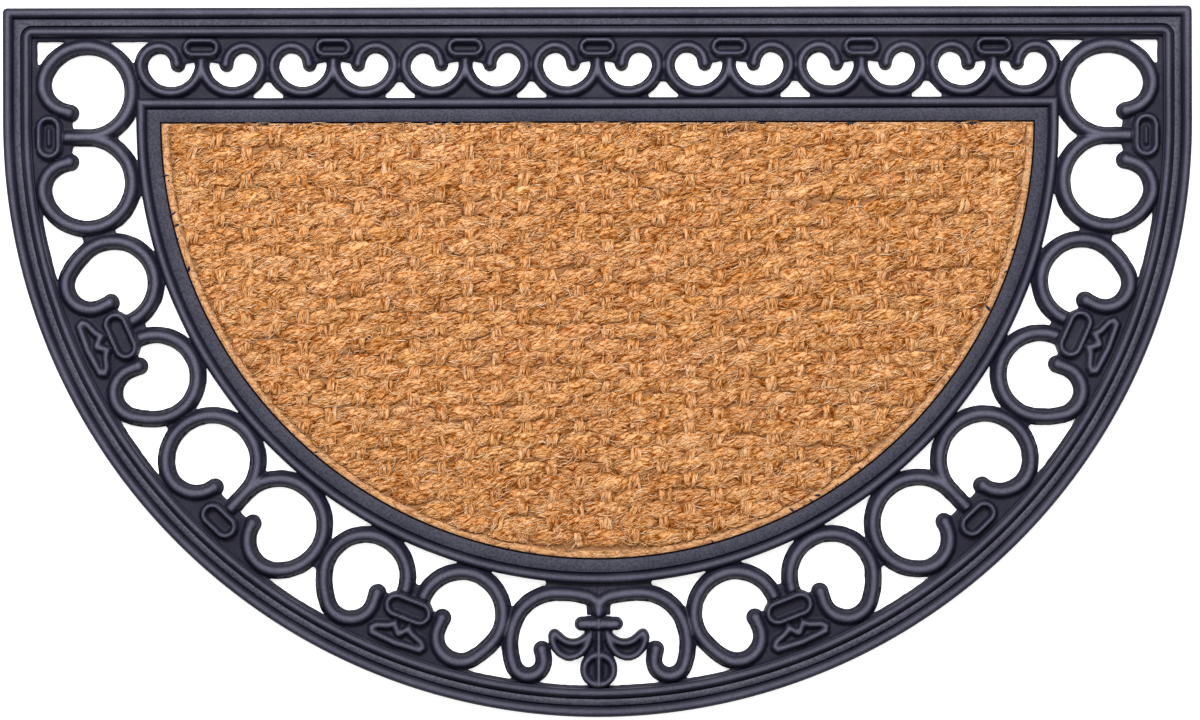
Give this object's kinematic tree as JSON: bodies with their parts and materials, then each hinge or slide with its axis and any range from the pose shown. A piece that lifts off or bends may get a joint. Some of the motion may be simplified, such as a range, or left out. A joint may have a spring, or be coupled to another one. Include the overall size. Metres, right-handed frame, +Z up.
{
  "type": "half round doormat",
  "caption": "Half round doormat: a pierced scrollwork surround moulded in rubber, with a woven coir panel in its half round tray.",
  "frame": {"origin": "on the floor under the middle of the mat's bounding box", "axes": "+X along the straight side, +Y towards the straight side, +Z up"},
  "size_m": [0.75, 0.448, 0.009],
  "materials": {
    "rubber": "dark blue-grey moulded rubber, satin, with granular flat bands in the rims",
    "coir": "golden tan coir in an open plain weave, rough and fibrous, pressed flat along its edge"
  },
  "bodies": {
    "root": {"rubber_surround": "rubber", "coir_panel": "coir"}
  },
  "joints": []
}
